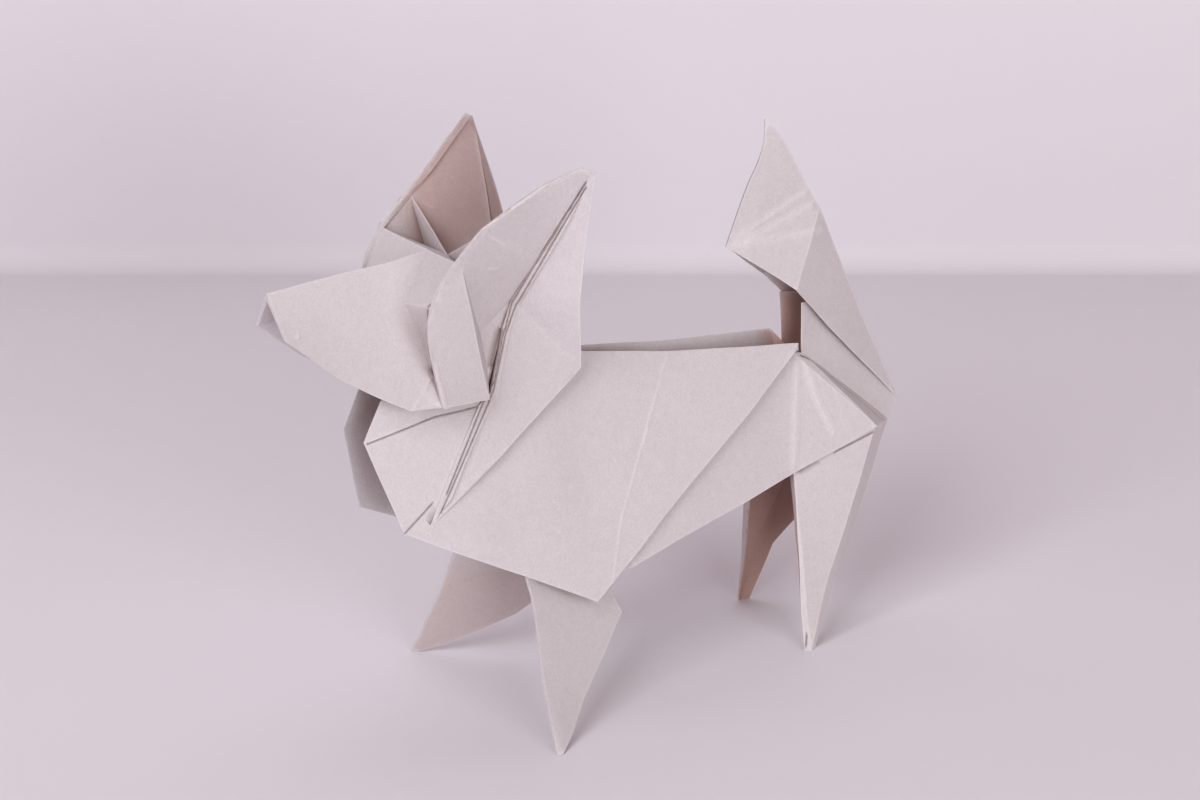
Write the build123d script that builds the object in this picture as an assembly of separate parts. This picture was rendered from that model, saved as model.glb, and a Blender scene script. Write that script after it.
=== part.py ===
from build123d import *
import os

# A dog folded from one square of stiff white paper. It stands on four folded feet, faces -X,
# and is built about its middle plane, Y = 0. The origin is on the table, under the middle of
# the dog. The paper is drawn at its middle surface, as flat panels that meet at the creases,
# and each run of panels is then given the paper's thickness with mitred folds.

# The sheet: paper thickness, and the distance from one layer to the next where it lies folded.
paper = 0.2
layer_pitch = 0.45

# Body: chest to rump, spread of the belly edges, and height of the back at the rump.
trunk_length = 80.0
belly_half_width = 13.0
rump_height = 53.7
chest_x = -42.2
pleat_depth = 6.0

# Hind legs, from the front edge of the leg to the back of the dog.
hind_leg_x = 35.3
hind_length = 25.5
hind_half_width = 13.0
hip_height = 36.6

# The dog's right hind foot stands a little further back and closer in than its left one.
right_foot_back = 2.5
right_foot_in = 1.1

# Front legs: where the feet stand, and how far inside the flank each leg starts.
front_leg_x = -22.7
front_foot_half_width = 24.4
front_toe_width = 0.9
leg_gap = 1.4
leg_rear_back = 3.3
leg_rear_in = 3.7
leg_rear_up = 1.3

# Head and ears, measured from the bottom of the groove between the ears.
neck_x = -13.4
groove_height = 67.7
head_length = 47.9
cheek_half_width = 12.4
head_height = 29.8
ear_length = 16.1
ear_half_spread = 19.2
ear_height = 29.8
ear_hem_width = 0.8

# Tail, measured from its root at the back of the rump.
tail_root_x = 61.7
tail_root_height = 38.5
tail_reach = 36.6
tail_half_width = 5.0
tail_height = 55.2
tail_spine = 0.45

# Crease corners closer than this share of the paper's thickness are one corner, and this many
# rounds settle a mitred corner.
same_corner_share = 0.05
mitre_rounds = 200

# Each table gives the creases' corners on one side of the dog, as shares of that group's
# length, half width and height. A front leg's are shares of the way down to the toe, of the
# way back to its rear edge, and, outwards, of its length.
trunk_shares = {
    "neck_top": (0.468, 0.115, 1.115),
    "back_mid": (0.673, 0.200, 1.061),
    "rump_top": (1.000, 0.338, 1.000),
    "rump_corner": (0.984, 0.364, 0.977),
    "belly": (0.418, 1.000, 0.367),
    "chest_low": (0.000, 0.577, 0.698),
    "chest_front": (-0.059, 0.285, 0.991),
    "throat": (-0.019, 0.292, 1.110),
    "flap_foot": (0.057, 0.631, 0.712),
    "flap_mid": (0.089, 0.562, 0.797),
    "flap_top": (0.190, 0.431, 1.048),
    "shoulder": (0.260, 0.246, 1.127),
    "groove_front": (0.172, 0.000, 1.268),
    "groove_rear": (0.372, 0.000, 1.261),
    "trough_front": (0.509, 0.000, 0.978),
    "trough_rear": (0.996, 0.000, 0.857),
    "trough_end": (1.140, 0.000, 0.800),
    "flap_corner": (0.442, 0.354, 1.092),
    "flap_edge": (0.230, 0.570, 0.879),
}
hind_shares = {
    "thigh_top": (0.075, 0.269, 1.421),
    "hip": (0.644, 0.654, 1.017),
    "knee": (-0.003, 0.554, 0.863),
    "thigh_low": (-1.423, 0.862, 0.636),
    "base_low": (0.163, 0.238, 1.407),
    "base_top": (0.144, 0.254, 1.661),
    "base_ridge": (0.624, 0.000, 1.639),
    "hip_mid": (0.206, 0.808, 0.329),
    "strip_mid": (0.295, 0.715, 0.290),
    "foot_front": (-0.031, 0.969, 0.000),
    "foot_side": (0.008, 1.008, 0.000),
    "foot_rear": (0.059, 0.954, 0.000),
    "hem_top": (0.012, 0.400, 0.833),
    "hem_mid": (0.035, 0.585, 0.410),
}
front_leg_shares = {
    "front_0": (0.209, 0.000, -0.032),
    "front_1": (0.297, -0.012, -0.014),
    "front_2": (0.593, -0.017, -0.030),
    "rear_1": (0.198, 1.362, -0.051),
    "rear_2": (0.478, 0.924, -0.071),
    "rear_3": (0.677, 0.572, -0.060),
    "rear_4": (0.864, 0.270, -0.030),
    "crease_top": (-0.054, 0.534, -0.067),
    "crease_mid": (0.740, 0.121, -0.048),
    "inner_top": (-0.006, 0.952, -0.038),
    "inner_1": (0.195, 1.339, -0.084),
    "inner_2": (0.483, 0.912, -0.098),
    "inner_3": (0.680, 0.565, -0.083),
    "inner_4": (0.861, 0.268, -0.050),
}
head_shares = {
    "nose_top": (-1.000, 0.000, 0.406),
    "nose_low": (-0.992, 0.419, 0.191),
    "ridge_1": (-0.831, 0.000, 0.426),
    "ridge_2": (-0.659, 0.000, 0.444),
    "brow": (-0.570, 0.000, 0.440),
    "crown": (-0.401, 0.000, 0.492),
    "forehead": (-0.323, 0.000, 0.436),
    "lip_1": (-0.818, 0.597, -0.060),
    "lip_2": (-0.684, 0.685, -0.199),
    "jaw": (-0.582, 0.742, -0.288),
    "stop_1": (-0.524, 0.210, 0.237),
    "stop_2": (-0.481, 0.394, 0.061),
    "stop_3": (-0.479, 0.589, -0.131),
    "rim_0": (-0.464, 0.790, -0.300),
    "rim_1": (-0.514, 0.839, -0.015),
    "rim_2": (-0.538, 0.879, 0.149),
    "rim_3": (-0.532, 0.919, 0.292),
    "rim_4": (-0.497, 0.944, 0.406),
    "rim_5": (-0.441, 0.992, 0.530),
    "rim_6": (-0.336, 0.984, 0.688),
    "pin": (-0.419, 0.960, 0.486),
    "cheek_corner": (-0.269, 0.661, -0.328),
}
ear_shares = {
    "rim_7": (-0.727, 0.708, 0.789),
    "rim_8": (-0.398, 0.807, 0.913),
    "tip_front": (-0.081, 0.953, 0.997),
    "tip_rear": (0.037, 1.000, 0.970),
    "seam_4": (0.006, 0.911, 0.919),
    "seam_3": (-0.068, 0.719, 0.728),
    "seam_2": (-0.137, 0.542, 0.547),
    "seam_1": (-0.211, 0.359, 0.372),
    "seam_0": (-0.350, 0.188, 0.160),
    "edge_2": (0.124, 0.760, 0.597),
    "edge_1": (0.208, 0.536, 0.163),
    "gap_top": (-0.500, 0.229, 0.028),
    "gap_deep": (-0.627, 0.104, -0.091),
    "seam_low": (-0.690, 0.271, -0.332),
}
band_shares = {
    "band_3": (-0.029, 0.735, 0.712),
    "band_2": (-0.091, 0.560, 0.528),
    "band_1": (-0.162, 0.382, 0.351),
    "band_0": (-0.296, 0.213, 0.137),
    "band_gap": (-0.443, 0.228, 0.014),
    "band_low": (-0.623, 0.271, -0.349),
    "band_flap": (-0.757, 0.298, -0.411),
    "band_mid": (-1.264, 0.393, -0.862),
}
band_left = ("seam_4", "seam_3", "seam_2", "seam_1", "seam_0", "gap_top", "seam_low")
band_left += ("flap_top", "flap_mid", "flap_foot")
band_right = ("seam_4", "band_3", "band_2", "band_1", "band_0", "band_gap", "band_low")
band_right += ("band_flap", "band_mid", "flap_foot")
band_ear_corners = 4
ear_rim = ("rim_0", "rim_1", "rim_2", "rim_3", "rim_4", "rim_5", "rim_6", "rim_7", "rim_8")
ear_rim += ("tip_front",)
rim_backs = ("cheek_corner", "pin", "pin", "pin", "pin", "pin", "pin", "seam_1", "seam_2")
rim_backs += ("seam_3",)
tail_shares = {
    "tip": (-0.787, 1.000),
    "tail_shoulder": (-0.722, 0.963),
    "beak_low": (-0.784, 0.935),
    "tail_neck": (-0.812, 0.871),
    "back": (-0.540, 0.743),
    "knob": (-0.481, 0.685),
    "ridge_low": (0.000, 0.000),
    "rear_mid": (-0.025, -0.080),
    "front": (-1.000, 0.614),
    "front_mid": (-0.890, 0.800),
}
tail_fold_shares = (-0.685, 1.000, 0.460)
leg_root_front_shares = {"shoulder": 0.19, "belly": 0.50, "flap_foot": 0.31}
nose_hem_share = 0.055
leg_root_rear_shares = {"shoulder": 0.05, "belly": 0.90, "neck_top": 0.05}


def placed(shares, start, length, half_width, height):
    """Corner points from shares, on the dog's left side, which is -Y."""
    return {
        name: start + Vector(along * length, -out * half_width, up * height)
        for name, (along, out, up) in shares.items()
    }


def weighted(points, shares):
    """A point on the panel between three named corners."""
    total = Vector(0, 0, 0)
    for name, share in shares.items():
        total += points[name] * share
    return total


def other_side(point):
    """The same corner on the dog's right side."""
    return Vector(point.X, -point.Y, point.Z)


def turned_over(panels):
    """The same panels on the dog's right side."""
    return [[other_side(corner) for corner in panel] for panel in panels]


def mirrored(panels):
    """Panels on both sides of the middle plane."""
    return panels + turned_over(panels)


def panels_of(points, names):
    """Panels written as rows of corner names; a row of four is two triangles."""
    panels = []
    for row in names.strip().splitlines():
        corners = [points[name] for name in row.split()]
        for second, third in zip(corners[1:-1], corners[2:]):
            panels.append([corners[0], second, third])
    return panels


def key_of(point):
    """Corners closer than this share one crease corner."""
    step = paper * same_corner_share
    return tuple(round(value / step) for value in (point.X, point.Y, point.Z))


def edges_of(triangle):
    """The three edges of a triangle, in its own turning direction."""
    return [(triangle[turn], triangle[(turn + 1) % 3]) for turn in range(3)]


def same_way_round(triangles):
    """Turns every triangle so that neighbours face the same side of the paper."""
    by_edge = {}
    for number, triangle in enumerate(triangles):
        for first, second in edges_of(triangle):
            by_edge.setdefault(frozenset((first, second)), []).append(number)
    done, waiting = set(), []
    for start in range(len(triangles)):
        if start in done:
            continue
        done.add(start)
        waiting.append(start)
        while waiting:
            number = waiting.pop()
            for first, second in edges_of(triangles[number]):
                for other in by_edge[frozenset((first, second))]:
                    if other in done:
                        continue
                    if (first, second) in edges_of(triangles[other]):
                        triangles[other] = triangles[other][::-1]
                    done.add(other)
                    waiting.append(other)
    return triangles


def mitre(normals, reach):
    """The step from a crease corner that moves every panel at it outwards by reach."""
    step = Vector(0, 0, 0)
    for _ in range(mitre_rounds):
        pull = Vector(0, 0, 0)
        for normal in normals:
            pull += normal * (reach - normal.dot(step))
        step += pull * (1.0 / len(normals))
    return step


def folded(panels, thickness=paper):
    """A closed solid of one run of panels, thickened to both sides with mitred creases."""
    corners, triangles = {}, []
    for panel in panels:
        keys = [key_of(corner) for corner in panel]
        for key, corner in zip(keys, panel):
            corners.setdefault(key, corner)
        triangles.append(keys)
    triangles = same_way_round(triangles)
    normals, edge_count = {}, {}
    for triangle in triangles:
        a, b, c = (corners[key] for key in triangle)
        normal = (b - a).cross(c - a).normalized()
        for key in triangle:
            normals.setdefault(key, []).append(normal)
        for first, second in edges_of(triangle):
            edge = frozenset((first, second))
            edge_count[edge] = edge_count.get(edge, 0) + 1
    steps = {key: mitre(found, thickness / 2) for key, found in normals.items()}
    faces = []
    for triangle in triangles:
        upper = [corners[key] + steps[key] for key in triangle]
        lower = [corners[key] - steps[key] for key in reversed(triangle)]
        faces.append(Face(Wire.make_polygon(upper)))
        faces.append(Face(Wire.make_polygon(lower)))
        for first, second in edges_of(triangle):
            if edge_count[frozenset((first, second))] == 1:
                low_first = corners[first] - steps[first]
                low_second = corners[second] - steps[second]
                up_first = corners[first] + steps[first]
                up_second = corners[second] + steps[second]
                faces.append(Face(Wire.make_polygon([low_first, low_second, up_second])))
                faces.append(Face(Wire.make_polygon([low_first, up_second, up_first])))
    return Solid(Shell(faces))


def body_points():
    """Every corner of the trunk, hind legs, head and ears on the dog's left side."""
    chest = Vector(chest_x, 0, 0)
    hind_leg = Vector(hind_leg_x, 0, 0)
    points = placed(trunk_shares, chest, trunk_length, belly_half_width, rump_height)
    points |= placed(hind_shares, hind_leg, hind_length, hind_half_width, hip_height)
    groove = Vector(neck_x, 0, groove_height)
    points |= placed(head_shares, groove, head_length, cheek_half_width, head_height)
    points |= placed(ear_shares, groove, ear_length, ear_half_spread, ear_height)
    points |= placed(band_shares, groove, ear_length, ear_half_spread, ear_height)
    points |= tail_points()
    points["trough_lip"] = points["base_low"] + Vector(0, layer_pitch * 2, 0)
    return points


def tail_points():
    """The tail's corners, which lie in two walls close to the middle plane."""
    root = Vector(tail_root_x, 0, tail_root_height)
    points = {
        name: root + Vector(along * tail_reach, 0, up * tail_height)
        for name, (along, up) in tail_shares.items()
    }
    along, out, up = tail_fold_shares
    fold = Vector(along * tail_reach, -out * tail_half_width, up * tail_height)
    points["fold_low"] = root + fold
    return points


def add_nose_hem(points):
    """The narrow hem folded back inside the open end of the snout."""
    back = Vector(head_length * nose_hem_share, 0, 0)
    points["nose_top_turned"] = points["nose_top"] - Vector(0, 0, layer_pitch * 2)
    points["nose_low_turned"] = points["nose_low"] + Vector(0, layer_pitch, 0)
    points["hem_nose_top"] = points["nose_top_turned"] + back
    points["hem_nose_low"] = points["nose_low_turned"] + back


def add_ear_hem(points):
    """The narrow hem folded inwards along the ear's front rim, which carries the face."""
    for number, name in enumerate(ear_rim):
        before = points[ear_rim[max(number - 1, 0)]]
        after = points[ear_rim[min(number + 1, len(ear_rim) - 1)]]
        along = (after - before).normalized()
        back = points[rim_backs[number]] - points[name]
        back = (back - along * back.dot(along)).normalized()
        inwards = along.cross(back)
        inwards = inwards if inwards.Y > 0 else inwards * -1.0
        points[name + "_turned"] = points[name] + inwards * layer_pitch
        points[name + "_inner"] = points[name + "_turned"] + back * ear_hem_width


def ear_hem_panels(points):
    """The hem's turned edge and the strip behind it, from the cheek to the ear's tip."""
    rows = []
    for a, b in zip(ear_rim, ear_rim[1:]):
        rows.append(f"{a} {b} {b}_turned {a}_turned")
        rows.append(f"{a}_turned {b}_turned {b}_inner {a}_inner")
    return panels_of(points, "\n".join(rows))


def lift(points, first, second, third):
    """One layer outwards from the panel between three named corners on the left side."""
    a, b, c = points[first], points[second], points[third]
    step = (b - a).cross(c - a).normalized() * layer_pitch
    return step if step.Y < 0 else step * -1.0


def add_band(points):
    """Raised corners of the doubled band that runs down the ear's seam to the chest."""
    ear_lift = lift(points, "seam_1", "edge_2", "edge_1")
    flap_lift = lift(points, "seam_low", "flap_corner", "flap_edge")
    for side in (band_left, band_right):
        for number, name in enumerate(side[1:-1]):
            raise_by = ear_lift if number < band_ear_corners else flap_lift
            points[name + "_raised"] = points[name] + raise_by


def add_pleat(points):
    """The hidden Z-fold behind the rump crease, from which the thigh comes out."""
    top, low = points["rump_corner"], points["belly"]
    across = (points["back_mid"] - low).cross(top - low).normalized()
    inward = across if across.Y > 0 else across * -1.0
    line = (top - low).normalized()
    forward = line.cross(inward)
    forward = forward if forward.X < 0 else forward * -1.0
    deep_top = top + forward * pleat_depth - line * pleat_depth
    deep_low = low + forward * pleat_depth
    points["pleat_top_1"] = top + inward * layer_pitch
    points["pleat_low_1"] = low + inward * layer_pitch
    points["pleat_top_2"] = deep_top + inward * layer_pitch
    points["pleat_low_2"] = deep_low + inward * layer_pitch
    points["pleat_top_3"] = deep_top + inward * (layer_pitch * 2)
    points["pleat_low_3"] = deep_low + inward * (layer_pitch * 2)


def add_thigh_fold(points):
    """The turned lower edge of the thigh, one layer further in, from which the leg hangs."""
    inwards = lift(points, "thigh_top", "hip", "knee") * -1.0
    for name in ("knee", "hip"):
        points[name + "_turned"] = points[name] + inwards


def trunk(points):
    """Flanks, chest, neck and the trough along the back."""
    return panels_of(
        points,
        """
        back_mid rump_top rump_corner
        back_mid rump_corner belly
        neck_top back_mid belly
        shoulder neck_top belly
        shoulder belly flap_foot
        belly chest_low flap_foot
        flap_top flap_mid shoulder
        flap_mid flap_foot shoulder
        chest_low flap_mid flap_foot
        chest_front flap_mid chest_low
        chest_front flap_top flap_mid
        chest_front throat flap_top
        flap_top shoulder seam_0
        throat flap_top seam_0
        shoulder neck_top seam_0
        neck_top groove_rear seam_0
        seam_0 groove_rear seam_1
        seam_1 groove_rear groove_front
        seam_1 groove_front rim_6_inner
        neck_top groove_rear trough_front
        neck_top trough_front back_mid
        back_mid trough_front trough_rear
        back_mid trough_rear rump_top
        rump_top trough_rear trough_lip
        trough_rear trough_end trough_lip
        rim_6_inner groove_front forehead
        """,
    )


def hindquarters(points):
    """Pleat, thigh, hind leg, rump and the channel at the root of the tail."""
    return panels_of(
        points,
        """
        rump_corner pleat_top_1 pleat_low_1 belly
        pleat_top_1 pleat_top_2 pleat_low_2 pleat_low_1
        pleat_top_2 pleat_top_3 pleat_low_3 pleat_low_2
        pleat_top_3 thigh_low pleat_low_3
        pleat_top_3 knee thigh_low
        pleat_top_3 thigh_top knee
        thigh_top hip knee
        knee hip hip_turned knee_turned
        knee_turned hip_turned hip_mid
        knee_turned hip_mid foot_side
        knee_turned foot_side foot_front
        hip hip_turned rear_mid
        hip_turned rear_mid strip_mid
        hip_turned strip_mid hip_mid
        hip_mid strip_mid foot_rear
        hip_mid foot_rear foot_side
        knee_turned foot_front hem_mid
        knee_turned hem_mid hem_top
        thigh_top base_low hip
        base_low rear_mid hip
        base_low base_top base_ridge
        base_low base_ridge ridge_low
        base_low ridge_low rear_mid
        """,
    )


def head(points):
    """Snout, cheeks, ears and the neck flaps that hang from the ears to the chest."""
    return panels_of(
        points,
        """
        nose_top nose_low nose_low_turned nose_top_turned
        nose_top_turned nose_low_turned hem_nose_low hem_nose_top
        nose_top ridge_1 nose_low
        ridge_1 lip_1 nose_low
        ridge_1 ridge_2 lip_1
        ridge_2 lip_2 lip_1
        ridge_2 brow stop_1
        ridge_2 stop_1 lip_2
        stop_1 stop_2 lip_2
        stop_2 stop_3 lip_2
        stop_3 jaw lip_2
        brow crown stop_1
        crown forehead rim_5_inner
        stop_1 crown rim_5_inner
        stop_1 rim_5_inner rim_4_inner
        stop_1 rim_4_inner rim_3_inner
        stop_1 rim_3_inner stop_2
        stop_2 rim_3_inner rim_2_inner
        stop_2 rim_2_inner stop_3
        stop_3 rim_2_inner rim_1_inner
        stop_3 rim_1_inner rim_0_inner
        stop_3 rim_0_inner jaw
        rim_5 rim_4 pin
        rim_4 rim_3 pin
        rim_3 rim_2 pin
        rim_2 rim_1 pin
        rim_1 cheek_corner pin
        rim_1 rim_0 cheek_corner
        rim_5 pin rim_6
        pin cheek_corner gap_deep
        pin gap_deep seam_0
        pin seam_0 seam_1
        pin seam_1 rim_6
        rim_6 seam_1 rim_7
        rim_7 seam_1 seam_2
        rim_7 seam_2 rim_8
        rim_8 seam_2 seam_3
        rim_8 seam_3 tip_front
        tip_front seam_3 seam_4
        tip_front seam_4 tip_rear
        seam_4 edge_2 tip_rear
        band_3 edge_2 seam_4
        band_2 edge_2 band_3
        band_1 edge_2 band_2
        band_1 edge_1 edge_2
        band_0 edge_1 band_1
        band_0 flap_corner edge_1
        band_gap flap_corner band_0
        band_gap band_low flap_corner
        band_low flap_edge flap_corner
        band_low band_flap flap_edge
        band_flap band_mid flap_edge
        band_mid flap_foot flap_edge
        """,
    )


def band(points):
    """The raised band: its left edge, its top and its right edge, closed at both ends."""
    rows = []
    for a, b, c, d in zip(band_left, band_left[1:], band_right, band_right[1:]):
        if a == c:
            rows += [f"{a} {b} {b}_raised", f"{a} {b}_raised {d}_raised", f"{a} {d}_raised {d}"]
        elif b == d:
            rows += [f"{a} {b} {a}_raised", f"{a}_raised {b} {c}_raised", f"{c}_raised {b} {c}"]
        else:
            rows.append(f"{a} {b} {b}_raised {a}_raised")
            rows.append(f"{a}_raised {b}_raised {d}_raised {c}_raised")
            rows.append(f"{c}_raised {d}_raised {d} {c}")
    return panels_of(points, "\n".join(rows))


def front_leg_points(points):
    """A front leg's corners, from its root inside the flank to the toe on the table."""
    root_front = weighted(points, leg_root_front_shares)
    root_rear = weighted(points, leg_root_rear_shares)
    top = root_front + Vector(0, leg_gap, 0)
    rear = root_rear + Vector(leg_rear_back, leg_rear_in, leg_rear_up)
    toe = Vector(front_leg_x, -front_foot_half_width, 0)
    outwards = (toe - top).cross(rear - top).normalized() * (toe - top).length
    outwards = outwards if outwards.Y < 0 else outwards * -1.0
    leg = {
        name: top + (toe - top) * down + (rear - top) * back + outwards * out
        for name, (down, back, out) in front_leg_shares.items()
    }
    leg["root_front"], leg["root_rear"] = root_front, root_rear
    leg["leg_top_front"], leg["leg_top_rear"] = top, rear
    leg["toe_rear"] = toe
    leg["toe_front"] = toe - Vector(front_toe_width, 0, 0)
    leg["toe_inner"] = toe + Vector(0, layer_pitch * 2, 0)
    for name in ("leg_top_front", "front_0", "front_1", "front_2", "toe_front"):
        leg[name + "_turned"] = leg[name] + Vector(0, layer_pitch, 0)
    return leg


def front_leg(points):
    """A front leg: a narrow folded cone, open behind, hung from the inside of the flank."""
    return panels_of(
        points,
        """
        root_front root_rear leg_top_rear leg_top_front
        leg_top_front leg_top_rear front_0
        front_0 leg_top_rear rear_1 front_1
        front_1 rear_1 rear_2 front_2
        front_2 rear_2 rear_3
        front_2 rear_3 rear_4
        front_2 rear_4 toe_rear toe_front
        leg_top_front front_0 front_0_turned leg_top_front_turned
        front_0 front_1 front_1_turned front_0_turned
        front_1 front_2 front_2_turned front_1_turned
        front_2 toe_front toe_front_turned front_2_turned
        leg_top_front_turned front_0_turned crease_top
        front_0_turned front_1_turned crease_top
        front_1_turned front_2_turned crease_top
        front_2_turned crease_mid crease_top
        front_2_turned toe_front_turned toe_inner
        front_2_turned toe_inner crease_mid
        crease_mid toe_inner inner_4
        crease_mid inner_4 inner_3
        crease_mid inner_3 inner_2
        crease_mid inner_2 crease_top
        crease_top inner_2 inner_1
        crease_top inner_1 inner_top
        """,
    )


def tail(points):
    """The upper tail: two walls joined along a narrow spine, open in front."""
    outwards = Vector(0, -tail_spine, 0)
    left = {name: points[name] + outwards for name in tail_shares}
    left["fold_low"] = points["fold_low"]
    walls = panels_of(
        left,
        """
        tip tail_shoulder beak_low
        tail_shoulder tail_neck beak_low
        tail_shoulder back tail_neck
        tail_neck back front_mid
        front_mid back front
        back knob front
        front knob fold_low
        knob ridge_low fold_low
        """,
    )
    spine = []
    bends = ["tip", "tail_shoulder", "back", "knob", "ridge_low"]
    for upper, lower in zip(bends, bends[1:]):
        a, b = left[upper], left[lower]
        spine += [[a, b, other_side(b)], [a, other_side(b), other_side(a)]]
    return mirrored(walls) + spine


points = body_points()
add_pleat(points)
add_band(points)
add_nose_hem(points)
add_ear_hem(points)
add_thigh_fold(points)
right_points = dict(points)
for name in ("foot_front", "foot_side", "foot_rear"):
    right_points[name] += Vector(right_foot_back, right_foot_in, 0)

hind_panels = hindquarters(points) + turned_over(hindquarters(right_points))
left_leg = front_leg(front_leg_points(points))
runs = [
    mirrored(trunk(points)) + hind_panels,
    mirrored(head(points) + ear_hem_panels(points) + band(points)),
    left_leg,
    turned_over(left_leg),
    tail(points),
]
solids = [folded(run) for run in runs]
folded_sheet = solids[0].fuse(*solids[1:])
box = folded_sheet.bounding_box()
folded_sheet = Pos(-box.center().X, -box.center().Y, -box.min.Z) * folded_sheet

os.makedirs("parts", exist_ok=True)
export_step(folded_sheet, "parts/folded_sheet.step")
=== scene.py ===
import bpy
import bmesh
import math
import numpy as np
from mathutils import Matrix, Vector, kdtree, noise
from mathutils.bvhtree import BVHTree


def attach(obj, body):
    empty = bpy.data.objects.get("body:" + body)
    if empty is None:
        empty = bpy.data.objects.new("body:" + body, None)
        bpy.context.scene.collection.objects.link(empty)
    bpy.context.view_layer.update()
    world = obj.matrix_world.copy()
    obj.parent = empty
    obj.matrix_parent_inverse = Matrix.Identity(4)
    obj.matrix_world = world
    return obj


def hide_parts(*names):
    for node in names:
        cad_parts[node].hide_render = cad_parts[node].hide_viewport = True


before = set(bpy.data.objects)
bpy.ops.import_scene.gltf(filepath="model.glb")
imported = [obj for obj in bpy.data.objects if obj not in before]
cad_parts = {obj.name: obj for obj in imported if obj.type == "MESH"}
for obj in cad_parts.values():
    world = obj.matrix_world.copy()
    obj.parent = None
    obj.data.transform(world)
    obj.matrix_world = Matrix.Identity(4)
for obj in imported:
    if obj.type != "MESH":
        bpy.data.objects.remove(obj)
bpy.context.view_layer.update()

# Camera: a 105 mm lens on a full frame, held a little above the dog's back and looking down
# on its left side from in front.
camera_data = bpy.data.cameras.new("photo_camera")
camera_data.lens = 105.0
camera_data.sensor_width = 36.0
camera_data.clip_start = 0.01
camera = bpy.data.objects.new("photo_camera", camera_data)
bpy.context.scene.collection.objects.link(camera)
look_at = Vector((-0.00043, 0.0, 0.04989))
camera.location = (-0.29575, -0.46390, 0.25683)
camera.rotation_euler = (camera.location - look_at).to_track_quat("Z", "Y").to_euler()
bpy.context.scene.camera = camera

# The folded sheet: one square of stiff uncoated off-white paper, creased by hand and pressed
# flat fold by fold. The panels bow a little between their creases, and the ears and their
# rims are rolled into curves, not creased.
corner_gap = 2e-6
sheet_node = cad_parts["folded_sheet"]
sheet = bpy.data.objects.new("paper_dog", sheet_node.data.copy())
bpy.context.scene.collection.objects.link(sheet)
bm = bmesh.new()
bm.from_mesh(sheet.data)
bmesh.ops.remove_doubles(bm, verts=bm.verts[:], dist=corner_gap)
bmesh.ops.dissolve_degenerate(bm, edges=bm.edges[:], dist=corner_gap)

# The flat panels are divided evenly, so that they can bow.
longest_edge = 0.0017
flat_angle = 0.002
halvings = 6
for _ in range(halvings):
    long_edges = [edge for edge in bm.edges if edge.calc_length() > longest_edge]
    bmesh.ops.subdivide_edges(bm, edges=long_edges, cuts=1)
    bmesh.ops.triangulate(bm, faces=[f for f in bm.faces if len(f.verts) > 3])
    flat = [
        edge
        for edge in bm.edges
        if edge.is_manifold and edge.calc_face_angle(1.0) < flat_angle
    ]
    bmesh.ops.beautify_fill(bm, faces=bm.faces[:], edges=flat)

# Creases and cut edges stay sharp. A bend gentler than a crease is rolled smooth, and so is
# a crease or a cut edge above the legs that turns only a little between its stretches.
crease_angle = math.radians(26)
corner_turn = math.radians(30)
leg_top = 0.045
roll_rounds = 26
edge_rounds = 9
gentle_creases = [
    [(-0.0617, 0.0, 0.0799), (-0.0537, 0.0, 0.0805), (-0.0454, 0.0, 0.0810)],
    [(-0.0454, 0.0, 0.0810), (-0.0411, 0.0, 0.0809)],
    [(0.01124, -0.00276, 0.05649), (-0.00922, -0.01300, 0.01977)],
]
crease_width = 0.0004
least_parallel = 0.97


def on_gentle_crease(edge):
    """Whether an edge runs along one of the listed creases, on either side of the dog."""
    a, b = (Vector((v.co.x, -abs(v.co.y), v.co.z)) for v in edge.verts)
    for line in gentle_creases:
        for start, end in zip(line, line[1:]):
            start, span = Vector(start), Vector(end) - Vector(start)
            gaps = []
            for point in (a, b):
                share = min(1.0, max(0.0, (point - start).dot(span) / span.length_squared))
                gaps.append((point - start - span * share).length)
            parallel = abs((b - a).normalized().dot(span.normalized()))
            if max(gaps) < crease_width and parallel > least_parallel:
                return True
    return False


bm.verts.ensure_lookup_table()
bm.verts.index_update()
bm.normal_update()
kept = {
    edge
    for edge in bm.edges
    if not edge.is_manifold or edge.calc_face_angle() > crease_angle or on_gentle_crease(edge)
}
free, along_crease = [], []
for vert in bm.verts:
    sharp = [edge for edge in vert.link_edges if edge in kept]
    if not sharp:
        free.append(vert.index)
        continue
    if len(sharp) == 2:
        before, after = (e.other_vert(vert) for e in sharp)
        turn = (vert.co - before.co).angle(after.co - vert.co, math.pi)
        if turn < corner_turn and vert.co.z > leg_top:
            along_crease.append((vert.index, before.index, after.index))
for edge in bm.edges:
    edge.smooth = edge not in kept
for face in bm.faces:
    face.smooth = True
place = np.array([vert.co for vert in bm.verts])
ends = np.array([(e.verts[0].index, e.verts[1].index) for e in bm.edges])
joined = np.bincount(ends.ravel(), minlength=len(place))[:, None]
is_free = np.zeros((len(place), 1), bool)
is_free[free] = True
middle, before, after = np.array(along_crease).T
for turn_number in range(roll_rounds):
    total = np.zeros_like(place)
    np.add.at(total, ends[:, 0], place[ends[:, 1]])
    np.add.at(total, ends[:, 1], place[ends[:, 0]])
    rolled = np.where(is_free, (place + total / joined) / 2, place)
    if turn_number < edge_rounds:
        rolled[middle] = (2 * place[middle] + place[before] + place[after]) / 4
    place = rolled

# Hand-folded paper is never quite flat: slow waves a few tenths of a millimetre deep run
# through all the layers together, and die out at the feet.
wave_length = 0.021
wave_depth = 0.00042
ripple_length = 0.0085
ripple_depth = 0.00013
ripple_shift = Vector((7, 3, 5))
foot_height = 0.006
wave_seed = 4
noise.seed_set(wave_seed)
for vert, at in zip(bm.verts, place):
    at = Vector(at)
    wave = noise.noise_vector(at / wave_length) * wave_depth
    wave += noise.noise_vector(at / ripple_length + ripple_shift) * ripple_depth
    vert.co = at + wave * min(1.0, max(at.z, 0.0) / foot_height)
bm.normal_update()

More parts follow.
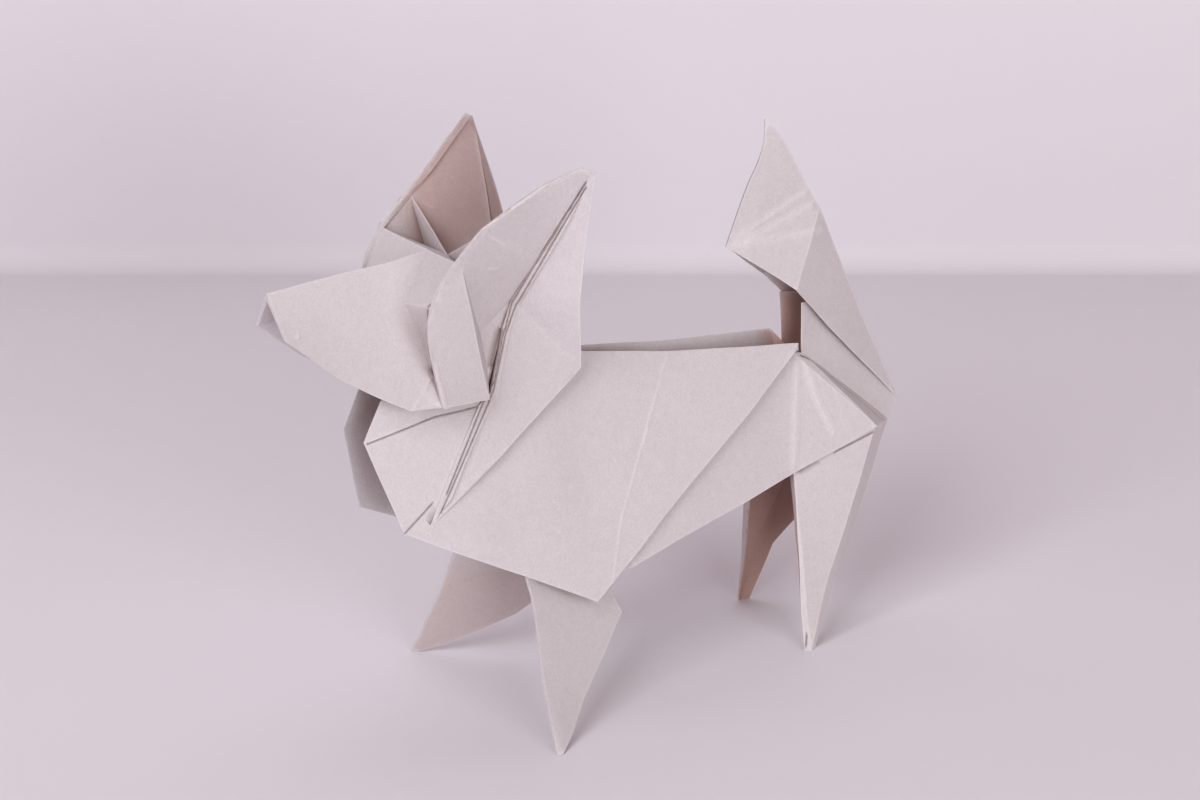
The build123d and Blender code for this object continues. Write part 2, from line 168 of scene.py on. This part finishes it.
# The tail's two walls touch along their free front edges.
tail_edge = [
    (0.03244, 0.09376),
    (0.03253, 0.09020),
    (0.03153, 0.08664),
    (0.02867, 0.08272),
    (0.02465, 0.07245),
]
tail_front, tail_low = 0.02, 0.07
touch_width = 0.004
touch_share = 0.75
for vert in bm.verts:
    if vert.co.x < tail_front or vert.co.z < tail_low:
        continue
    at = Vector((vert.co.x, vert.co.z))
    gap = touch_width
    for start, end in zip(tail_edge, tail_edge[1:]):
        start, span = Vector(start), Vector(end) - Vector(start)
        share = min(1.0, max(0.0, (at - start).dot(span) / span.length_squared))
        gap = min(gap, (at - start - span * share).length)
    vert.co.y *= 1.0 - touch_share * (1.0 - gap / touch_width)
bm.normal_update()

# Creases that were pressed and opened again, the broader ones among them, the ears' rolled
# rims, and the gaps where one layer lies on the next, which carry painted shadow. All are
# listed on the dog's left side, in metres, and come back on its right side.
opened_creases = [
    [(0.01109, -0.00289, 0.05639), (0.00372, -0.0066, 0.04308), (-0.00281, -0.00996, 0.03103)],
    [(-0.00281, -0.00996, 0.03103), (-0.00634, -0.01259, 0.02053)],
    [(-0.04693, -0.00392, 0.05330), (-0.03547, -0.00492, 0.05590), (-0.02788, -0.00571, 0.05634)],
    [(-0.03717, -0.00751, 0.06362), (-0.04128, -0.00911, 0.05968)],
    [(-0.01314, -0.0189, 0.09619), (-0.01513, -0.01344, 0.08911), (-0.01661, -0.00885, 0.08195)],
    [(0.03276, -0.00055, 0.09051), (0.0369, -0.00055, 0.0897)],
]
broad_creases = [
    [(0.03863, -0.00386, 0.05078), (0.04024, -0.00571, 0.04385), (0.04305, -0.0074, 0.03733)],
    [(0.03713, -0.00388, 0.0509), (0.0348, -0.00719, 0.03229)],
    [(0.02671, -0.00055, 0.0737), (0.03388, -0.00055, 0.07673), (0.0409, -0.00055, 0.07965)],
    [(0.02643, -0.00068, 0.07253), (0.03434, -0.00054, 0.07487), (0.04224, -0.00054, 0.0771)],
    [(0.02631, -0.00055, 0.07288), (0.03509, -0.00131, 0.0728), (0.04413, -0.00101, 0.07259)],
]
layer_gaps = [
    [(-0.01385, -0.01697, 0.09388), (-0.01611, -0.01094, 0.08367), (-0.01884, -0.00481, 0.07261)],
    [(-0.01884, -0.00481, 0.07261), (-0.02167, -0.00502, 0.0672), (-0.02445, -0.0057, 0.05829)],
    [(-0.02445, -0.0057, 0.05829), (-0.02565, -0.00609, 0.0564), (-0.03617, -0.00821, 0.04018)],
    [(-0.01407, -0.01732, 0.09483), (-0.01631, -0.01067, 0.08414), (-0.01932, -0.00468, 0.07351)],
    [(-0.01932, -0.00468, 0.07351), (-0.02227, -0.00507, 0.06681), (-0.02427, -0.00547, 0.0596)],
    [(-0.02427, -0.00547, 0.0596), (-0.0268, -0.00611, 0.05647), (-0.0348, -0.00788, 0.04308)],
    [(-0.03850, -0.01000, 0.0772), (-0.03864, -0.00921, 0.0757), (-0.03761, -0.00733, 0.07181)],
    [(-0.03761, -0.00733, 0.07181), (-0.03711, -0.00666, 0.06881), (-0.03633, -0.00841, 0.05911)],
    [(0.03814, -0.00364, 0.05136), (0.05754, -0.0026, 0.03522)],
    [(0.05127, -0.00801, 0.03619), (0.04321, -0.00762, 0.03382), (0.03537, -0.00702, 0.03099)],
    [(-0.04693, -0.00392, 0.05301), (-0.03547, -0.00492, 0.05561), (-0.02788, -0.00571, 0.05604)],
    [(-0.04236, -0.00758, 0.03784), (-0.03755, -0.00741, 0.0416), (-0.03838, -0.00812, 0.03871)],
    [(0.03458, -0.01239, 0.00304), (0.03423, -0.01266, 0.00074)],
]
rolled_rims = [
    [(-0.03608, -0.00980, 0.05882), (-0.03847, -0.0104, 0.06731), (-0.03962, -0.0109, 0.0722)],
    [(-0.03962, -0.0109, 0.0722), (-0.03933, -0.0114, 0.07646), (-0.03766, -0.01171, 0.07986)],
    [(-0.03766, -0.01171, 0.07986), (-0.03497, -0.0123, 0.08355), (-0.02994, -0.0122, 0.08826)],
    [(-0.02994, -0.0122, 0.08826), (-0.02555, -0.01359, 0.09127), (-0.02026, -0.01549, 0.09497)],
]
# The pockets are painted dark as well, as painted shade in the recesses.
pockets = [
    [(-0.02234, -0.00426, 0.06778), (-0.0233, -0.00455, 0.06548), (-0.02449, -0.0048, 0.0622)],
]

# Each line is cut into the sheet along its middle and both sides. The points on it carry how
# near they are to its middle, and are lifted or sunk: name, lines, half width and lift.
line_kinds = [
    ("opened_crease", opened_creases, 0.00042, 0.00003),
    ("broad_crease", broad_creases, 0.0011, 0.00004),
    ("rolled_rim", rolled_rims, 0.0006, 0.00018),
    ("layer_gap", layer_gaps, 0.00026, -0.00010),
    ("pocket", pockets, 0.0011, 0.0),
]
line_reach = 0.0030
same_facing = 0.75
line_end = 0.0002
line_outside = 0.001
cut_snap = 1e-6
face_tree = kdtree.KDTree(len(bm.faces))
bm.faces.ensure_lookup_table()
for number, face in enumerate(bm.faces):
    face_tree.insert(face.calc_center_median(), number)
face_tree.balance()
first_faces = list(bm.faces)
known = set(first_faces)
layers = BVHTree.FromBMesh(bm)
added = []
for name, lines, width, lift in line_kinds:
    mark = bm.verts.layers.float.new(name)
    raised = {}
    for line in lines:
        for side in (1, -1):
            for start, end in zip(line, line[1:]):
                start, end = (Vector((x, y * side, z)) for x, y, z in (start, end))
                centre, span = (start + end) / 2, end - start
                facing = layers.find_nearest(centre + Vector((0, -line_outside * side, 0)))[1]
                across = span.cross(facing).normalized()
                found = face_tree.find_range(centre, span.length / 2 + line_reach)
                near = [first_faces[number] for _, number, _ in found] + added
                chosen = []
                for face in near:
                    if not face.is_valid or face.normal.dot(facing) < same_facing:
                        continue
                    away = face.calc_center_median() - start
                    share = min(1.0, max(0.0, away.dot(span) / span.length_squared))
                    if (away - span * share).length < line_reach:
                        chosen.append(face)
                for offset in (-width, 0.0, width):
                    geom = dict.fromkeys(chosen)
                    geom.update(dict.fromkeys(edge for face in chosen for edge in face.edges))
                    geom.update(dict.fromkeys(vert for face in chosen for vert in face.verts))
                    cut = bmesh.ops.bisect_plane(
                        bm,
                        geom=list(geom),
                        dist=cut_snap,
                        plane_co=start + across * offset,
                        plane_no=across,
                    )["geom"]
                    chosen = [item for item in cut if isinstance(item, bmesh.types.BMFace)]
                fresh = [face for face in chosen if face not in known]
                added += fresh
                known.update(fresh)
                for vert in dict.fromkeys(vert for face in chosen for vert in face.verts):
                    away = vert.co - start
                    along = away.dot(span) / span.length
                    if -line_end < along < span.length + line_end:
                        amount = 1.0 - abs(away.dot(across)) / width
                        if amount > vert[mark]:
                            vert[mark] = amount
                            raised[vert] = vert.normal * (lift * amount)
    for vert, step in raised.items():
        vert.co += step
bmesh.ops.triangulate(bm, faces=[f for f in bm.faces if len(f.verts) > 3])

# Cuts close to each other leave folded-up slivers, whose two faces share all their corners.
same_corners = {}
for face in bm.faces:
    same_corners.setdefault(frozenset(face.verts), []).append(face)
twins = [group for group in same_corners.values() if len(group) > 1]
bmesh.ops.delete(bm, geom=[face for group in twins for face in group[1:]], context="FACES_ONLY")
fins = [group[0] for group in twins if any(len(edge.link_faces) > 2 for edge in group[0].edges)]
bmesh.ops.delete(bm, geom=fins, context="FACES_ONLY")
bmesh.ops.delete(bm, geom=[edge for edge in bm.edges if not edge.link_faces], context="EDGES")
bmesh.ops.delete(bm, geom=[vert for vert in bm.verts if not vert.link_faces], context="VERTS")
bm.verts.index_update()
bm.normal_update()
ends = np.array([(e.verts[0].index, e.verts[1].index) for e in bm.edges])
joined = np.bincount(ends.ravel(), minlength=len(bm.verts))[:, None]

# How far each point lies from the nearest outward crease or cut edge of its own side.
reach = 0.0025
own_side = 0.4
worn = [e for e in bm.edges if not e.smooth and e.is_manifold and e.is_convex]
tree = kdtree.KDTree(len(worn))
for number, edge in enumerate(worn):
    tree.insert((edge.verts[0].co + edge.verts[1].co) / 2, number)
tree.balance()
worn_layer = bm.verts.layers.float.new("from_fold")
for vert in bm.verts:
    nearest = reach
    for _, number, _ in tree.find_range(vert.co, reach + longest_edge):
        a, b = (v.co for v in worn[number].verts)
        if max(face.normal.dot(vert.normal) for face in worn[number].link_faces) < own_side:
            continue
        span = b - a
        share = min(1.0, max(0.0, (vert.co - a).dot(span) / span.length_squared))
        nearest = min(nearest, (vert.co - a - span * share).length)
    vert[worn_layer] = nearest

# How far each point is shut in by the other layers, as a share of the directions it faces.
# The paper is painted darker by it, as painted shade.
sight = 0.045
skin = 0.0003
ray_count = 20
golden = math.pi * (3 - math.sqrt(5))
spread = []
for number in range(ray_count):
    out = math.sqrt((number + 0.5) / ray_count)
    around = number * golden
    up = math.sqrt(1 - out * out)
    spread.append(Vector((out * math.cos(around), out * math.sin(around), up)))
layers = BVHTree.FromBMesh(bm)
shut_in = np.zeros(len(bm.verts))
for vert in bm.verts:
    turn = vert.normal.to_track_quat("Z", "Y")
    start = vert.co + vert.normal * skin
    hits = sum(layers.ray_cast(start, turn @ ray, sight)[0] is not None for ray in spread)
    shut_in[vert.index] = hits / ray_count
trim_rounds = 2
soften_rounds = 3
for round_number in range(trim_rounds + soften_rounds):
    total = np.zeros(len(shut_in))
    np.add.at(total, ends[:, 0], shut_in[ends[:, 1]])
    np.add.at(total, ends[:, 1], shut_in[ends[:, 0]])
    mean = total / joined[:, 0]
    if round_number < trim_rounds:
        shut_in = np.minimum(shut_in, mean)
    else:
        shut_in = (shut_in + mean) / 2

# The inner faces of the ears and legs, the end of the trough and the tail's channel get most
# of their light through the paper, and are painted darker and browner for it, as painted warm
# shade: front, back, low and high end of each stretch, over how much of it the effect fades
# in, and its strength.
lit_stretches = [
    (-0.034, 0.012, 0.0745, 0.200, 0.006, 0.56),
    (0.028, 0.060, -0.010, 0.036, 0.006, 0.85),
    (-0.032, 0.010, -0.010, 0.026, 0.009, 0.30),
    (0.033, 0.052, 0.044, 0.064, 0.005, 0.75),
]
inward_gain = 1.6
shut_layer = bm.verts.layers.float.new("shut_in")
lit_layer = bm.verts.layers.float.new("lit_through")
for vert in bm.verts:
    inwards = -inward_gain * vert.normal.y * math.copysign(1.0, vert.co.y)
    inwards = min(1.0, max(0.0, inwards))
    share = 0.0
    for front, back, low, high, fade, amount in lit_stretches:
        inside = min(vert.co.x - front, back - vert.co.x, vert.co.z - low, high - vert.co.z)
        share = max(share, amount * inwards * min(1.0, max(0.0, inside / fade)))
    vert[shut_layer] = shut_in[vert.index]
    vert[lit_layer] = share
bm.to_mesh(sheet.data)
bm.free()

# The paper: uncoated off-white pulp with a fine grain, soft pressed-in creases that were
# opened again, and folds whose fibres stand up and look lighter; the folds, creases and rims
# also carry a painted highlight.
paper = bpy.data.materials.new("folded_paper")
paper.use_nodes = True
nodes, links = paper.node_tree.nodes, paper.node_tree.links
nodes.clear()


def node(kind, **settings):
    """One node of the paper, with its settings and the values of its inputs."""
    made = nodes.new(kind)
    for name, value in settings.items():
        setattr(made, name, value)
    return made


def math_node(operation, first, second=None, third=None, clamp=False):
    """A sum on numbers or other nodes' outputs."""
    made = node("ShaderNodeMath", operation=operation, use_clamp=clamp)
    for socket, value in zip(made.inputs, (first, second, third)):
        if isinstance(value, bpy.types.NodeSocket):
            links.new(value, socket)
        elif value is not None:
            socket.default_value = value
    return made.outputs[0]


def noise_node(where, scale, detail, roughness=0.5):
    """Soft random grain; its scale is in spots per metre."""
    made = node("ShaderNodeTexNoise", noise_dimensions="3D")
    made.inputs["Scale"].default_value = scale
    made.inputs["Detail"].default_value = detail
    made.inputs["Roughness"].default_value = roughness
    links.new(where, made.inputs["Vector"])
    return made.outputs["Fac"]


place_node = node("ShaderNodeTexCoord").outputs["Object"]
strays = noise_node(place_node, 900.0, 3.0)
patches = noise_node(place_node, 260.0, 2.0)


def mark_node(name, stray_share):
    """A stored mark, its edge broken up by stray fibres."""
    stored = node("ShaderNodeAttribute", attribute_name=name).outputs["Fac"]
    uneven = math_node("MULTIPLY_ADD", strays, stray_share, -stray_share / 2)
    kept = math_node("MULTIPLY", stored, math_node("ADD", uneven, 1.0))
    return math_node("ADD", kept, 0.0, clamp=True)


crease_mark = mark_node("opened_crease", 1.6)
crease_mark = math_node("MULTIPLY", crease_mark, math_node("MULTIPLY_ADD", patches, 1.4, -0.1))
broad_mark = mark_node("broad_crease", 0.8)
gap_mark = math_node("MAXIMUM", mark_node("layer_gap", 0.8), mark_node("pocket", 0.1))

fold_gap = node("ShaderNodeAttribute", attribute_name="from_fold").outputs["Fac"]
fold_gap = math_node("ADD", fold_gap, math_node("MULTIPLY_ADD", strays, 0.0003, -0.00015))
fold_mark = math_node("SUBTRACT", 1.0, math_node("DIVIDE", fold_gap, 0.00036), clamp=True)

grain = noise_node(place_node, 3000.0, 3.0, 0.65)
mottle = noise_node(place_node, 700.0, 3.0)
cloud = noise_node(place_node, 60.0, 2.0)
tone = math_node("MULTIPLY_ADD", grain, 0.52, -0.26)
tone = math_node("MULTIPLY_ADD", mottle, 0.14, math_node("SUBTRACT", tone, 0.07))
tone = math_node("MULTIPLY_ADD", cloud, 0.05, math_node("SUBTRACT", tone, 0.025))
# Painted highlight: the folds, creases and rims are lightened, partly for their broken fibres and
# partly as painted highlight where light catches them.
fibres_and_highlight = math_node("MAXIMUM", crease_mark, math_node("MULTIPLY", fold_mark, 0.9))
fibres_and_highlight = math_node("MAXIMUM", fibres_and_highlight, math_node("MULTIPLY", broad_mark, 0.9))
fibres_and_highlight = math_node("MAXIMUM", fibres_and_highlight, mark_node("rolled_rim", 0.5))
tone = math_node("MULTIPLY_ADD", fibres_and_highlight, 0.15, tone)
tint = node("ShaderNodeValToRGB")
tint.color_ramp.elements[0].position = 0.0
tint.color_ramp.elements[0].color = (0.41, 0.375, 0.372, 1)
tint.color_ramp.elements[1].position = 1.0
tint.color_ramp.elements[1].color = (0.83, 0.79, 0.805, 1)
links.new(math_node("ADD", tone, 0.55), tint.inputs["Fac"])

# Painted shade: deep between the layers the paper is painted darker, and where light would
# reach it only through the paper it is painted darker and browner.
shut_in_share = node("ShaderNodeAttribute", attribute_name="shut_in").outputs["Fac"]
depth = math_node("DIVIDE", math_node("SUBTRACT", shut_in_share, 0.22), 0.6, clamp=True)
shade = node("ShaderNodeMix", data_type="RGBA", blend_type="MULTIPLY")
links.new(math_node("POWER", depth, 1.4), shade.inputs["Factor"])
links.new(tint.outputs["Color"], shade.inputs["A"])
shade.inputs["B"].default_value = (0.60, 0.48, 0.45, 1)
# Painted warm shade: the inner faces are darkened and browned by this tint.
lit_share = node("ShaderNodeAttribute", attribute_name="lit_through").outputs["Fac"]
painted_warm_shade = node("ShaderNodeMix", data_type="RGBA", blend_type="MULTIPLY")
links.new(lit_share, painted_warm_shade.inputs["Factor"])
links.new(shade.outputs["Result"], painted_warm_shade.inputs["A"])
painted_warm_shade.inputs["B"].default_value = (0.72, 0.46, 0.37, 1)
# Painted shadow: the gaps where one layer lies on the next, and the pockets, are darkened.
painted_gap_shadow = node("ShaderNodeMix", data_type="RGBA", blend_type="MULTIPLY")
links.new(math_node("MULTIPLY", gap_mark, 0.85), painted_gap_shadow.inputs["Factor"])
links.new(painted_warm_shade.outputs["Result"], painted_gap_shadow.inputs["A"])
painted_gap_shadow.inputs["B"].default_value = (0.36, 0.27, 0.25, 1)

height = math_node("MULTIPLY", grain, 0.00005)
height = math_node("MULTIPLY_ADD", mottle, 0.00006, height)
height = math_node("MULTIPLY_ADD", crease_mark, 0.00007, height)
height = math_node("MULTIPLY_ADD", broad_mark, 0.00009, height)
height = math_node("MULTIPLY_ADD", gap_mark, -0.00012, height)
bump = node("ShaderNodeBump")
bump.inputs["Strength"].default_value = 1.0
bump.inputs["Distance"].default_value = 1.0
links.new(height, bump.inputs["Height"])

shader = node("ShaderNodeBsdfPrincipled")
shader.inputs["Roughness"].default_value = 0.88
shader.inputs["Specular IOR Level"].default_value = 0.22
links.new(painted_gap_shadow.outputs["Result"], shader.inputs["Base Color"])
links.new(bump.outputs["Normal"], shader.inputs["Normal"])
output = node("ShaderNodeOutputMaterial")
links.new(shader.outputs[0], output.inputs["Surface"])

sheet.data.materials.clear()
sheet.data.materials.append(paper)
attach(sheet, "root")
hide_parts("folded_sheet")

# The table and the wall behind it: one pale sweep, square to the camera, with the table's
# far edge rolled up into the wall.
view_turn = math.radians(-32.48)
wall_from_dog = 0.219
table_reach = 3.0
wall_height = 2.0
cove_size = 0.006
edge_search = 0.01
table = bpy.data.meshes.new("table")
bm = bmesh.new()
bmesh.ops.create_grid(bm, x_segments=1, y_segments=1, size=table_reach / 2)
bmesh.ops.translate(bm, vec=(0, wall_from_dog - table_reach / 2, 0), verts=bm.verts)
far = [e for e in bm.edges if all(v.co.y > wall_from_dog - edge_search for v in e.verts)]
raised = bmesh.ops.extrude_edge_only(bm, edges=far)["geom"]
wall_top = [item for item in raised if isinstance(item, bmesh.types.BMVert)]
bmesh.ops.translate(bm, vec=(0, 0, wall_height), verts=wall_top)
at_wall = {v for v in bm.verts if v.co.y > wall_from_dog - edge_search and v.co.z < edge_search}
far = [e for e in bm.edges if all(v in at_wall for v in e.verts)]
bmesh.ops.bevel(
    bm, geom=far, offset=cove_size, segments=8, profile=0.5, affect="EDGES", material=-1
)
to_camera = Matrix.Rotation(view_turn, 3, "Z")
bmesh.ops.rotate(bm, cent=(0, 0, 0), matrix=to_camera, verts=bm.verts)
bmesh.ops.recalc_face_normals(bm, faces=bm.faces)
bm.to_mesh(table)
bm.free()
for polygon in table.polygons:
    polygon.use_smooth = True
backdrop = bpy.data.objects.new("table_and_wall", table)
bpy.context.scene.collection.objects.link(backdrop)
matt = bpy.data.materials.new("pale_table")
matt.use_nodes = True
matt_nodes, matt_links = matt.node_tree.nodes, matt.node_tree.links
base = matt_nodes["Principled BSDF"]
base.inputs["Roughness"].default_value = 0.75
base.inputs["Specular IOR Level"].default_value = 0.2
matt_place = matt_nodes.new("ShaderNodeTexCoord")
matt_parts = matt_nodes.new("ShaderNodeSeparateXYZ")
matt_links.new(matt_place.outputs["Object"], matt_parts.inputs[0])
# Painted shade and light: the sweep is darker from the cove to a little way up the wall, where
# the table meets it, and grows lighter up the wall as painted light.
tint_so_far = None
for low, high, colour in (
    (0.0, cove_size, (0.76, 0.735, 0.77, 1)),
    (0.02, 0.16, (0.87, 0.84, 0.88, 1)),
):
    rise = matt_nodes.new("ShaderNodeMapRange")
    rise.inputs["From Min"].default_value = low
    rise.inputs["From Max"].default_value = high
    matt_links.new(matt_parts.outputs["Z"], rise.inputs["Value"])
    matt_tint = matt_nodes.new("ShaderNodeMix")
    matt_tint.data_type = "RGBA"
    matt_links.new(rise.outputs["Result"], matt_tint.inputs["Factor"])
    matt_tint.inputs["B"].default_value = colour
    if tint_so_far is None:
        matt_tint.inputs["A"].default_value = (0.81, 0.785, 0.82, 1)
    else:
        matt_links.new(tint_so_far, matt_tint.inputs["A"])
    tint_so_far = matt_tint.outputs["Result"]
matt_links.new(tint_so_far, base.inputs["Base Color"])
table.materials.append(matt)

# Light: two large soft windows, low down on either side of the camera, in a room whose walls
# give back a little warm light.
world = bpy.data.worlds.new("warm_room")
bpy.context.scene.world = world
world.use_nodes = True
room = world.node_tree.nodes["Background"]
room.inputs["Color"].default_value = (1.0, 0.56, 0.47, 1)
room.inputs["Strength"].default_value = 0.17
aim_height = 0.05


def window(name, turn, rise, distance, size, power, colour):
    """A square soft light that looks at the dog's middle."""
    data = bpy.data.lights.new(name, "AREA")
    data.shape = "SQUARE"
    data.size = size
    data.energy = power
    data.color = colour
    lamp = bpy.data.objects.new(name, data)
    bpy.context.scene.collection.objects.link(lamp)
    turn, rise = math.radians(turn), math.radians(rise)
    level = math.cos(rise)
    away = Vector((math.sin(turn) * level, -math.cos(turn) * level, math.sin(rise)))
    lamp.location = Vector((0, 0, aim_height)) + away * distance
    lamp.rotation_euler = away.to_track_quat("Z", "Y").to_euler()


window("left_window", -62.0, 35.0, 1.0, 0.55, 6.2, (0.93, 0.94, 1.0))
window("right_window", -6.0, 10.0, 1.0, 0.55, 4.6, (0.98, 0.97, 1.0))

bpy.context.scene.view_settings.view_transform = "Standard"
